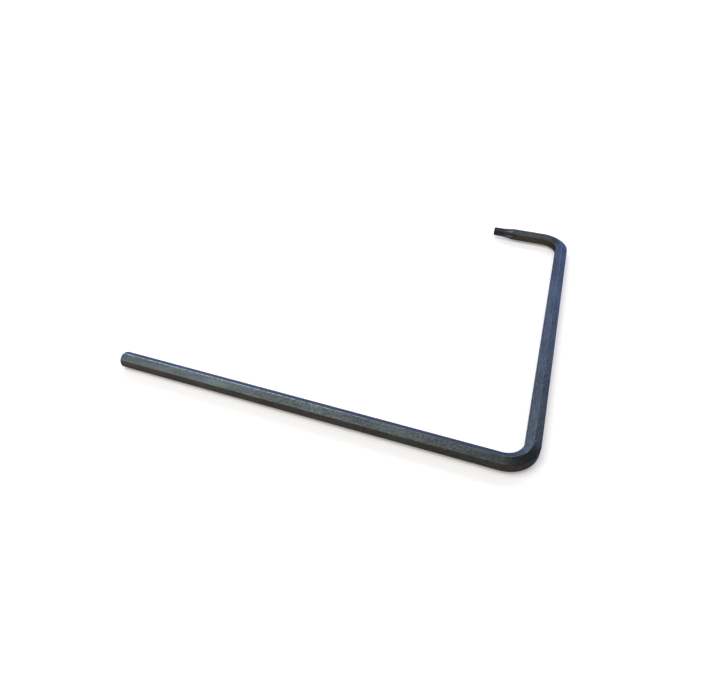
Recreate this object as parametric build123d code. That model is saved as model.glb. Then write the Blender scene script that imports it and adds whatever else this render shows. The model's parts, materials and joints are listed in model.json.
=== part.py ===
from build123d import *

"""Star-drive key: one hexagonal steel bar, bent square twice, with a six-lobed tip.

The key lies on a flat surface, which is Z = 0. A ridge of the bar is down and a ridge is up
all the way round, so the flats face into and out of both bends. Three arms follow each other
in one plane:

  long arm    along X, at the low-Y side, ending at low X in a plain hexagonal driving end
  middle arm  along Y, at the high-X side
  short arm   along X, at the high-Y side, ending at low X in the six-lobed tip

Lengths are in millimetres. The origin is the middle of the bounding box, at its foot.
"""

import os
from math import cos, radians, sqrt

# Driving dimensions of the bar.
FLATS = 4.0  # across flats
RIDGE_RADIUS = 0.25  # rounding along the six ridges
LONG_ARM = 116.5  # from the plain end to the meeting point of the two axes
MIDDLE_ARM = 105.7  # between the two meeting points
SHORT_ARM = 25.1  # from the other meeting point to the end of the tip
BEND_RADIUS = 7.0  # of the axis, at both bends
END_CHAMFER = 0.35  # how much narrower the hexagonal end's face is, on the diameter

# Driving dimensions of the six-lobed tip, a number 15 driver.
LOBES = 6
TIP_ACROSS = 3.27  # over opposite lobes
TIP_ROOT = 2.34  # over opposite flutes
LOBE_RADIUS = 0.26
TIP_CHAMFER = 0.35
STAR_LENGTH = 4.0  # where the flutes keep their full depth
RUN_OUT_RADIUS = 6.0  # of a flute's floor as it climbs out of the bar
SHOULDER_START = 3.0  # where the lobes begin to spread towards the bar
SHOULDER_LENGTH = 6.4  # from there to the full bar
FLUTE_LENGTH = 7.0  # the edges along a flute end before this, where the bar's flats begin
FLUTE_EDGE_RADIUS = 0.22  # rounding along those edges

# Worked out from them.
RIDGE_SPAN = FLATS / cos(radians(30))  # across sharp ridges
RIDGE_LOSS = RIDGE_RADIUS * (1 / cos(radians(30)) - 1)  # what the rounding takes off a ridge
AXIS_Z = RIDGE_SPAN / 2 - RIDGE_LOSS
CORNER_X = (LONG_ARM - FLATS / 2) / 2  # the middle arm's axis
LONG_Y = -MIDDLE_ARM / 2
SHORT_Y = MIDDLE_ARM / 2
HEX_END = Plane(
    origin=(CORNER_X - LONG_ARM, LONG_Y, AXIS_Z), x_dir=(0, -1, 0), z_dir=(1, 0, 0)
)
TIP_END = Plane(
    origin=(CORNER_X - SHORT_ARM, SHORT_Y, AXIS_Z), x_dir=(0, -1, 0), z_dir=(1, 0, 0)
)


def bar():
    """The hexagonal bar along its whole bent axis, both ends still square and full."""
    route = FilletPolyline(
        HEX_END.origin,
        (CORNER_X, LONG_Y, AXIS_Z),
        (CORNER_X, SHORT_Y, AXIS_Z),
        TIP_END.origin,
        radius=BEND_RADIUS,
    )
    sharp = RegularPolygon(radius=RIDGE_SPAN / 2, side_count=6, rotation=30)
    section = fillet(sharp.vertices(), RIDGE_RADIUS)
    return sweep(HEX_END * section, path=route)


def turned_cut(end, profile):
    """What turning takes off: all outside a profile of (distance from the end, radius)."""
    air = RIDGE_SPAN
    corners = [(radius, along) for along, radius in profile]
    corners.append((air, profile[-1][0]))
    corners.append((air, profile[0][0]))
    outline = Polyline(*corners, close=True)
    return end * revolve(make_face(Plane.XZ * outline), Axis.Z, 360)


def end_chamfer_cut(end, face_radius):
    """A 45 degree cone round an end, starting at the radius its face keeps."""
    return turned_cut(end, [(0, face_radius), (FLATS / 4, face_radius + FLATS / 4)])


def flute_radius():
    """The flute radius whose arc meets the lobes' arcs and reaches down to the root."""
    lobe_centre = TIP_ACROSS / 2 - LOBE_RADIUS
    root = TIP_ROOT / 2
    inward = lobe_centre * cos(radians(180 / LOBES))
    return (lobe_centre**2 + root**2 - 2 * root * inward - LOBE_RADIUS**2) / (
        2 * (inward + LOBE_RADIUS - root)
    )


def flute_cut():
    """One flute's cutter: straight from the end, then curving out of the bar along +X."""
    radius = flute_radius()
    centre = TIP_ROOT / 2 + radius
    turn = RUN_OUT_RADIUS - radius
    start = (centre, 0, -FLATS)
    bottom = (centre, 0, STAR_LENGTH)
    way_out = 45
    halfway = (
        centre + turn * (1 - cos(radians(way_out / 2))),
        0,
        STAR_LENGTH + turn * sqrt(1 - cos(radians(way_out / 2)) ** 2),
    )
    leaving = (
        centre + turn * (1 - cos(radians(way_out))),
        0,
        STAR_LENGTH + turn * sqrt(1 - cos(radians(way_out)) ** 2),
    )
    route = Line(start, bottom) + ThreePointArc(bottom, halfway, leaving)
    return sweep(Plane(origin=start, z_dir=(0, 0, 1)) * Circle(radius), path=route)


def edges_along_flutes(body):
    """The edges between the flutes and the turned tip, which become the lobes' rounded sides."""
    shortest = SHOULDER_START / 4
    chosen = []
    for edge in body.edges():
        box = edge.bounding_box()
        if box.size.X > shortest and box.max.X < TIP_END.origin.X + FLUTE_LENGTH:
            chosen.append(edge)
    return chosen


key = bar()
key -= end_chamfer_cut(HEX_END, (FLATS - END_CHAMFER) / 2)
key -= turned_cut(
    TIP_END,
    [
        (0, TIP_ACROSS / 2),
        (SHOULDER_START, TIP_ACROSS / 2),
        (SHOULDER_START + SHOULDER_LENGTH, RIDGE_SPAN / 2),
    ],
)
for number in range(LOBES):
    key -= TIP_END * Rot(0, 0, number * 360 / LOBES) * flute_cut()
key = fillet(edges_along_flutes(key), FLUTE_EDGE_RADIUS)
key -= end_chamfer_cut(TIP_END, TIP_ACROSS / 2 - TIP_CHAMFER)

os.makedirs("parts", exist_ok=True)
export_step(key, "parts/star_drive_key.step")
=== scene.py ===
"""Star-drive key: the looks of a worn black-oxide hexagonal bar, bent twice, with a six-lobed tip.

The CAD node is one bent bar. Here it is replaced by one finer skin of the same form, made of rings
along the bar, so that every point knows where it would be if the bar were straight. The steel's
grain, drawing marks and wear follow the bar round its bends through that.
"""

import json
from math import atan2, cos, pi, radians, sin

import bpy
import numpy as np
from mathutils import Matrix, Vector


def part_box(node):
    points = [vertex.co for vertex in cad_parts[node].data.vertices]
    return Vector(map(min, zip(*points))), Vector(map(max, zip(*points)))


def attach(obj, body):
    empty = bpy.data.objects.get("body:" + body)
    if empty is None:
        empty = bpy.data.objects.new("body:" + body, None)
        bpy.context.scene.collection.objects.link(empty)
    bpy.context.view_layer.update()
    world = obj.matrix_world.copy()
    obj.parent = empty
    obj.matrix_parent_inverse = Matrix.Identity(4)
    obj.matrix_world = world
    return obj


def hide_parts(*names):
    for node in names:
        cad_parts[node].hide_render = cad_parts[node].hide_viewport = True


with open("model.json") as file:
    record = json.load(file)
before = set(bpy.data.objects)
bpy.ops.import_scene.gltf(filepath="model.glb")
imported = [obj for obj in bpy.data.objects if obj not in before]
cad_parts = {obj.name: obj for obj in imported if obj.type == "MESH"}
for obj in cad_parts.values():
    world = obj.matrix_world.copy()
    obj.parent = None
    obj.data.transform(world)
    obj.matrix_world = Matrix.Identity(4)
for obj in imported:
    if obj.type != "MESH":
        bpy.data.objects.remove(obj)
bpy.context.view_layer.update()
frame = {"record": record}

NODE = "star_drive_key"
MM = 0.001

# The bar and its tip, in millimetres, as in the CAD.
FLATS = 4.0
RIDGE_RADIUS = 0.25
BEND_RADIUS = 7.0
HEX_FACE_RADIUS = 1.825
TIP_ACROSS = 3.27
TIP_ROOT = 2.34
FLUTE_RADIUS = 0.722
TIP_FACE_RADIUS = 1.285
STAR_LENGTH = 4.0
RUN_OUT_RADIUS = 6.0
SHOULDER_START = 3.0
SHOULDER_LENGTH = 6.4
FLUTE_LENGTH = 7.0
LOBE_EASING = 0.16  # how widely a flute's edge is blended into the lobe
SHOULDER_EASING = 0.03  # the same, for the shoulder's edge on the bar
HEX_CHAMFER_EASING = 0.04  # and for the two ends' chamfers
TIP_CHAMFER_EASING = 0.05

RIDGE_SPAN = FLATS / cos(radians(30))
TIP_LENGTH = SHOULDER_START + SHOULDER_LENGTH

# The skin's rings, in millimetres along the bar.
TIP_STEP = 0.09
END_STEP = 0.06
END_LENGTH = 0.6
BEND_STEP = 0.4
BAR_STEP = 0.9
POINTS_A_SIDE = 22  # round the bar, for each of its six ridges
CROWDING = 1.8  # how much closer these points stand at a ridge than on a flat
RIDGE_BAND = radians(12)  # the ridge attribute fades to nothing at this angle from a ridge
GROUND_DEPTH = 0.1  # a flute this deep shows its grinding in full


# ---------------------------------------------------------------- the bar's course

_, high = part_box(NODE)
mounts = {mount["name"]: Vector(mount["pos_m"]) / MM for mount in frame["record"]["mounts"]}
hex_end = mounts["hex_end"]
star_tip = mounts["star_tip"]
middle_x = high.x / MM - FLATS / 2

STRAIGHTS = (
    middle_x - hex_end.x - BEND_RADIUS,
    star_tip.y - hex_end.y - 2 * BEND_RADIUS,
    middle_x - star_tip.x - BEND_RADIUS,
)
BEND_LENGTH = BEND_RADIUS * pi / 2
BAR_LENGTH = sum(STRAIGHTS) + 2 * BEND_LENGTH


def course(along):
    """The point of the bar's axis at a distance from the hexagonal end, and its heading there."""
    point = hex_end.copy()
    heading = 0.0
    for number, straight in enumerate(STRAIGHTS):
        forward = Vector((cos(heading), sin(heading), 0))
        inward = Vector((-sin(heading), cos(heading), 0))
        if along <= straight or number == len(STRAIGHTS) - 1:
            return point + forward * along, heading
        point += forward * straight
        along -= straight
        bent = min(along, BEND_LENGTH) / BEND_RADIUS
        point += (forward * sin(bent) + inward * (1 - cos(bent))) * BEND_RADIUS
        if along <= BEND_LENGTH:
            return point, heading + bent
        along -= BEND_LENGTH
        heading += pi / 2


def stations():
    """Distances of the rings from the hexagonal end, close together where the form is fine."""
    along = 0.0
    places = []
    bends = (
        (STRAIGHTS[0], STRAIGHTS[0] + BEND_LENGTH),
        (BAR_LENGTH - STRAIGHTS[2] - BEND_LENGTH, BAR_LENGTH - STRAIGHTS[2]),
    )
    while along < BAR_LENGTH:
        places.append(along)
        if along > BAR_LENGTH - TIP_LENGTH:
            step = TIP_STEP
        elif along < END_LENGTH:
            step = END_STEP
        elif any(start - BAR_STEP < along < end for start, end in bends):
            step = BEND_STEP
        else:
            step = BAR_STEP
        along += step
    places.append(BAR_LENGTH)
    return places


# ---------------------------------------------------------------- the bar's section


def ring_angles():
    """Angles round the bar, from the flat that faces into the bends, crowded at the ridges."""
    steps = np.arange(POINTS_A_SIDE) / POINTS_A_SIDE * 2 - 1
    offsets = np.sign(steps) * np.abs(steps) ** CROWDING * radians(30)
    ridges = radians(30) + np.arange(6) * radians(60)
    return (ridges[:, None] + offsets[None, :]).ravel()


def from_ridge(angles):
    """The angle to the nearest ridge."""
    return (angles % radians(60)) - radians(30)


def hexagon(angles):
    """The hexagon's radius, its ridges rounded."""
    offset = np.abs(from_ridge(angles))
    flat = FLATS / 2 / np.cos(radians(30) - offset)
    centre = (FLATS / 2 - RIDGE_RADIUS) / cos(radians(30))
    reach = np.clip(RIDGE_RADIUS**2 - (centre * np.sin(offset)) ** 2, 0, None)
    rounded = centre * np.cos(offset) + np.sqrt(reach)
    tangent = atan2(RIDGE_RADIUS * sin(radians(30)), centre + RIDGE_RADIUS * cos(radians(30)))
    return np.where(offset < tangent, rounded, flat)


def turned(from_tip):
    """The radius that the tip's lobes and shoulder are turned to."""
    climb = max(from_tip - SHOULDER_START, 0) / SHOULDER_LENGTH
    return TIP_ACROSS / 2 + climb * (RIDGE_SPAN - TIP_ACROSS) / 2


def flutes(angles, from_tip):
    """The radius down to the six flutes, which lie along the bar's flats."""
    past = min(max(from_tip - STAR_LENGTH, 0), RUN_OUT_RADIUS)
    floor = TIP_ROOT / 2 + RUN_OUT_RADIUS - np.sqrt(RUN_OUT_RADIUS**2 - past**2)
    centre = floor + FLUTE_RADIUS
    offset = radians(30) - np.abs(from_ridge(angles))
    reach = FLUTE_RADIUS**2 - (centre * np.sin(offset)) ** 2
    wall = centre * np.cos(offset) - np.sqrt(np.clip(reach, 0, None))
    return np.where(reach > 0, wall, RIDGE_SPAN)


def eased_minimum(a, b, easing):
    """The smaller of two radii, with the edge where they meet rounded off."""
    blend = np.clip(0.5 + (b - a) / (2 * easing), 0, 1)
    return b + (a - b) * blend - easing * blend * (1 - blend)


def section(angles, from_hex, from_tip):
    """The bar's radius at each angle, at one place along it."""
    radius = hexagon(angles)
    if from_hex < END_LENGTH:
        radius = eased_minimum(radius, HEX_FACE_RADIUS + from_hex, HEX_CHAMFER_EASING)
    if from_tip < TIP_LENGTH:
        radius = eased_minimum(radius, turned(from_tip), SHOULDER_EASING)
        radius = eased_minimum(radius, flutes(angles, from_tip), LOBE_EASING)
        radius = eased_minimum(radius, TIP_FACE_RADIUS + from_tip, TIP_CHAMFER_EASING)
    return radius


def run_out(angles, from_tip):
    """How much of a flute's grinding shows where it climbs out of the bar, from 0 to 1."""
    if not STAR_LENGTH < from_tip < FLUTE_LENGTH:
        return np.zeros_like(angles)
    depth = np.minimum(hexagon(angles), turned(from_tip)) - flutes(angles, from_tip)
    climbed = (from_tip - STAR_LENGTH) / (FLUTE_LENGTH - STAR_LENGTH)
    return np.clip(depth / GROUND_DEPTH, 0, 1) * climbed


# ---------------------------------------------------------------- the skin


def build_key():
    """The whole key as one closed skin of rings, with its straight-bar coordinates and ridges."""
    angles = ring_angles()
    count = len(angles)
    points, unbent, ridge, ground = [], [], [], []
    for along in stations():
        axis, heading = course(along)
        inward = Vector((-sin(heading), cos(heading), 0))
        radii = section(angles, along, BAR_LENGTH - along)
        for angle, radius in zip(angles, radii):
            sideways, upward = radius * cos(angle), radius * sin(angle)
            place = Vector((along, sideways, upward))
            points.append((axis + inward * sideways + Vector((0, 0, upward))) * MM)
            unbent.append(place)
            ridge.append(max(0.0, 1 - abs(from_ridge(angle)) / RIDGE_BAND))
        ground.extend(run_out(angles, BAR_LENGTH - along))
    faces = []
    rings = len(points) // count
    for ring in range(rings - 1):
        for step in range(count):
            near, far = ring * count, (ring + 1) * count
            after = (step + 1) % count
            faces.append((near + step, near + after, far + after, far + step))
    for ring, along in ((0, 0.0), (rings - 1, BAR_LENGTH)):
        axis, heading = course(along)
        points.append(axis * MM)
        unbent.append(Vector((along, 0, 0)))
        ridge.append(0.0)
        ground.append(0.0)
        centre = len(points) - 1
        for step in range(count):
            pair = (ring * count + step, ring * count + (step + 1) % count)
            faces.append((centre, pair[1], pair[0]) if ring == 0 else (centre, pair[0], pair[1]))
    mesh = bpy.data.meshes.new("key_skin")
    mesh.from_pydata(points, [], faces)
    mesh.shade_smooth()
    straight = mesh.attributes.new("unbent", "FLOAT_VECTOR", "POINT")
    straight.data.foreach_set("vector", [value for place in unbent for value in place])
    for name, values in (("ridge", ridge), ("ground", ground)):
        mesh.attributes.new(name, "FLOAT", "POINT").data.foreach_set("value", values)
    key = bpy.data.objects.new("key_skin", mesh)
    bpy.context.scene.collection.objects.link(key)
    return key


# ---------------------------------------------------------------- the steel


class Nodes:
    """Short calls for making a material's nodes and joining them."""

    def __init__(self, name):
        self.material = bpy.data.materials.new(name)
        self.material.use_nodes = True
        self.tree = self.material.node_tree
        self.shader = self.tree.nodes["Principled BSDF"]

    def add(self, kind, inputs=None, **settings):
        node = self.tree.nodes.new(kind)
        for name, value in settings.items():
            setattr(node, name, value)
        for name, value in (inputs or {}).items():
            if isinstance(value, bpy.types.NodeSocket):
                self.tree.links.new(value, node.inputs[name])
            else:
                node.inputs[name].default_value = value
        return node

    def attribute(self, name, output):
        return self.add("ShaderNodeAttribute", attribute_name=name).outputs[output]

    def math(self, operation, a, b=0.0):
        return self.add("ShaderNodeMath", {0: a, 1: b}, operation=operation).outputs[0]

    def product(self, first, *others):
        for other in others:
            first = self.math("MULTIPLY", first, other)
        return first

    def scaled(self, vector, factor):
        inputs = {0: vector, 1: factor}
        return self.add("ShaderNodeVectorMath", inputs, operation="MULTIPLY").outputs[0]

    def marks(self, straight, rates, detail, roughness):
        """Noise with its own number of marks a millimetre along and across the bar."""
        along, across = rates
        return self.noise(self.scaled(straight, (along, across, across)), 1.0, detail, roughness)

    def noise(self, vector, scale, detail, roughness):
        inputs = {"Vector": vector, "Scale": scale, "Detail": detail, "Roughness": roughness}
        return self.add("ShaderNodeTexNoise", inputs).outputs["Fac"]

    def between(self, value, start, end, low=0.0, high=1.0):
        inputs = {"Value": value, "From Min": start, "From Max": end, "To Min": low, "To Max": high}
        return self.add("ShaderNodeMapRange", inputs, interpolation_type="SMOOTHSTEP").outputs[0]

    def mix(self, factor, a, b):
        node = self.add("ShaderNodeMix", data_type="RGBA")
        for name, value in ((0, factor), (6, a), (7, b)):
            if isinstance(value, bpy.types.NodeSocket):
                self.tree.links.new(value, node.inputs[name])
            else:
                node.inputs[name].default_value = value
        return node.outputs[2]


OXIDE_DARK = (0.042, 0.036, 0.027, 1)
OXIDE_LIGHT = (0.066, 0.057, 0.043, 1)
OXIDE_TONES = (0.32, 0.66)  # the tones at which the oxide is darkest and lightest
GRAZING_TINT = (0.42, 0.47, 0.65, 1)
BARE_STEEL = (0.36, 0.33, 0.26, 1)

# How much each kind of mark adds to the oxide's tone, and its marks a millimetre along and across.
PATCH_SHARE, PATCH_RATES = 0.45, (0.10, 0.3)
STREAK_SHARE, STREAK_RATES = 0.55, (0.15, 5.0)
GRAIN_SHARE, GRAIN_RATE = 1.5, 2.2
BREAK_RATES = (0.9, 0.3)
SPECK_RATES = (2.0, 2.0)

# Places along the bar, in millimetres from the hexagonal end.
GRAIN_WORN, GRAIN_WHOLE = 15, 90
MOST_RUBBED, LEAST_RUBBED = 20, 104
# Painted shade: between these two places the oxide colour goes from a little lighter to darker towards
# the first bend, standing in for reflections that dim along the long arm.
PAINTED_SHADE_START, PAINTED_SHADE_END = 20, 125
FIRST_SPECKS = STRAIGHTS[0] - 2
LAST_SPECKS = STRAIGHTS[0] + BEND_LENGTH + 10
SPECKS_FADE = 6

SLIDING_HEIGHTS = (1.9, 2.2)  # how far above or below its axis the bar touches what it lies on
GROUND_BARE = 0.22  # the share of bare steel in a ground flute
SPECK_BARE = 0.8  # and in a speck


def oxide_tone(n, straight, along):
    """Light and dark in the oxide: soft patches, drawing marks, and a grain that handling wears away."""
    patches = n.marks(straight, PATCH_RATES, 3.0, 0.5)
    streaks = n.marks(straight, STREAK_RATES, 4.0, 0.6)
    grain = n.math("SUBTRACT", n.noise(straight, GRAIN_RATE, 2.0, 0.7), 0.5)
    grain = n.product(grain, n.between(along, GRAIN_WORN, GRAIN_WHOLE, 0.35, 1.0))
    tone = n.math("ADD", n.product(patches, PATCH_SHARE), n.product(streaks, STREAK_SHARE))
    tone = n.math("ADD", tone, n.product(grain, GRAIN_SHARE))
    return tone, grain


def rubbed_ridges(n, straight, along, up, ridge):
    """Bare metal on the two ridges that the key slides on, most of it towards the hexagonal end."""
    lain_on = n.between(n.math("ABSOLUTE", up), *SLIDING_HEIGHTS)
    handled = n.between(along, LEAST_RUBBED, MOST_RUBBED, 0.10, 1.0)
    broken = n.between(n.marks(straight, BREAK_RATES, 5.0, 0.7), 0.38, 0.60, 0.25, 1.0)
    return n.product(n.between(ridge, 0.6, 1.0), lain_on, handled, broken)


def specks_at_the_bend(n, straight, along, ridge):
    """Small bright specks on the ridges round the first bend, where the oxide has chipped."""
    specks = n.between(n.marks(straight, SPECK_RATES, 2.0, 0.5), 0.66, 0.72)
    begun = n.between(along, FIRST_SPECKS, FIRST_SPECKS + SPECKS_FADE)
    unended = n.between(along, LAST_SPECKS, LAST_SPECKS - SPECKS_FADE)
    return n.product(specks, begun, unended, n.between(ridge, 0.25, 0.6))


def black_oxide():
    """Black oxide on drawn steel: mottled and faintly streaked, thin along the ridges, with painted
    shade that darkens it towards the first bend.
    """
    n = Nodes("worn_black_oxide")
    straight = n.attribute("unbent", "Vector")
    ridge = n.attribute("ridge", "Fac")
    ground = n.attribute("ground", "Fac")
    along, _, up = n.add("ShaderNodeSeparateXYZ", {0: straight}).outputs

    tone, grain = oxide_tone(n, straight, along)
    oxide = n.mix(n.between(tone, *OXIDE_TONES), OXIDE_DARK, OXIDE_LIGHT)
    # Painted shade: the oxide colour is scaled lighter near the hexagonal end and darker towards the
    # first bend.
    oxide = n.scaled(oxide, n.between(along, PAINTED_SHADE_START, PAINTED_SHADE_END, 1.08, 0.82))

    rubbed = rubbed_ridges(n, straight, along, up, ridge)
    specks = n.product(specks_at_the_bend(n, straight, along, ridge), SPECK_BARE)
    bare = n.math("MAXIMUM", rubbed, n.product(ground, GROUND_BARE))
    bare = n.math("MAXIMUM", bare, specks)

    n.tree.links.new(n.mix(bare, oxide, BARE_STEEL), n.shader.inputs["Base Color"])
    n.shader.inputs["Metallic"].default_value = 1.0
    n.shader.inputs["Specular Tint"].default_value = GRAZING_TINT
    n.tree.links.new(n.between(tone, 0.35, 0.65, 0.46, 0.33), n.shader.inputs["Roughness"])

    bump = n.add("ShaderNodeBump", {"Height": grain, "Strength": 0.5, "Distance": 0.08 * MM})
    n.tree.links.new(bump.outputs["Normal"], n.shader.inputs["Normal"])
    return n.material


# ---------------------------------------------------------------- the studio


FLOOR_SIZE = 6  # metres
FLOOR_COLOUR = (0.85, 0.62, 0.435, 1)  # warm, so that it comes out white under the cool lamps
FLOOR_GLOW = 0.26
WORLD_COLOUR = (0.60, 0.75, 1.0, 1)
WORLD_STRENGTH = 0.5


def add_floor():
    """A floor that comes out white under these lamps and keeps the key's shadow."""
    bpy.ops.mesh.primitive_plane_add(size=FLOOR_SIZE)
    floor = bpy.context.object
    floor.name = "floor"
    n = Nodes("pale_floor")
    n.shader.inputs["Base Color"].default_value = FLOOR_COLOUR
    n.shader.inputs["Roughness"].default_value = 0.9
    n.shader.inputs["Specular IOR Level"].default_value = 0.0
    rays = n.add("ShaderNodeLightPath").outputs
    seen = n.math("MAXIMUM", rays["Is Camera Ray"], rays["Is Glossy Ray"])
    seen = n.math("MAXIMUM", seen, rays["Is Transmission Ray"])
    n.shader.inputs["Emission Color"].default_value = (1.0, 1.0, 1.0, 1)
    n.tree.links.new(n.product(seen, FLOOR_GLOW), n.shader.inputs["Emission Strength"])
    floor.data.materials.append(n.material)


def add_world():
    """An even, cool surround."""
    world = bpy.data.worlds.new("surround")
    bpy.context.scene.world = world
    world.use_nodes = True
    background = world.node_tree.nodes["Background"]
    background.inputs["Color"].default_value = WORLD_COLOUR
    background.inputs["Strength"].default_value = WORLD_STRENGTH


def add_panel(name, azimuth, elevation, distance, size, power, colour):
    """A soft lamp that faces the key. It stands in a direction from the key's middle, in degrees."""
    light = bpy.data.lights.new(name, "AREA")
    light.shape = "RECTANGLE"
    light.size, light.size_y = size
    light.energy = power
    light.color = colour
    lamp = bpy.data.objects.new(name, light)
    flat = cos(radians(elevation))
    around = radians(azimuth)
    away = Vector((flat * cos(around), flat * sin(around), sin(radians(elevation))))
    lamp.location = away * distance
    lamp.rotation_euler = (-away).to_track_quat("-Z", "Y").to_euler()
    bpy.context.scene.collection.objects.link(lamp)


CAMERA_PLACE = Vector((47.5, -149.5, 124.4)) * MM
CAMERA_AIM = Vector((-0.2719, 0.7451, -0.6090))
CAMERA_ROLL = -0.68  # degrees
CAMERA_LENS = 30.5  # millimetres, on a 36 mm wide frame
CAMERA_SHIFT = -0.085  # the frame is cut from the lower part of the lens's picture
CAMERA_NEAR = 0.01  # metres


def add_camera():
    """The camera close above the key's long arm, looking down along it to the left."""
    camera = bpy.data.objects.new("camera", bpy.data.cameras.new("camera"))
    camera.data.lens = CAMERA_LENS
    camera.data.shift_y = CAMERA_SHIFT
    camera.data.clip_start = CAMERA_NEAR
    turn = CAMERA_AIM.to_track_quat("-Z", "Y").to_matrix().to_4x4()
    roll = Matrix.Rotation(radians(CAMERA_ROLL), 4, "Z")
    camera.matrix_world = Matrix.Translation(CAMERA_PLACE) @ turn @ roll
    bpy.context.scene.collection.objects.link(camera)
    bpy.context.scene.camera = camera


# ---------------------------------------------------------------- the scene

key = build_key()
key.data.materials.append(black_oxide())
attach(key, "root")
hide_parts(NODE)

add_floor()
add_world()
add_panel("overhead", 240, 80, 0.9, (0.7, 0.7), 5.2, (0.54, 0.70, 1.0))
add_panel("left", 216, 55, 0.7, (0.55, 0.5), 3.5, (0.50, 0.73, 1.0))
add_panel("back", 98, 23, 0.8, (2.2, 0.8), 30.0, (0.38, 0.57, 1.0))
add_camera()
bpy.context.scene.view_settings.view_transform = "Standard"
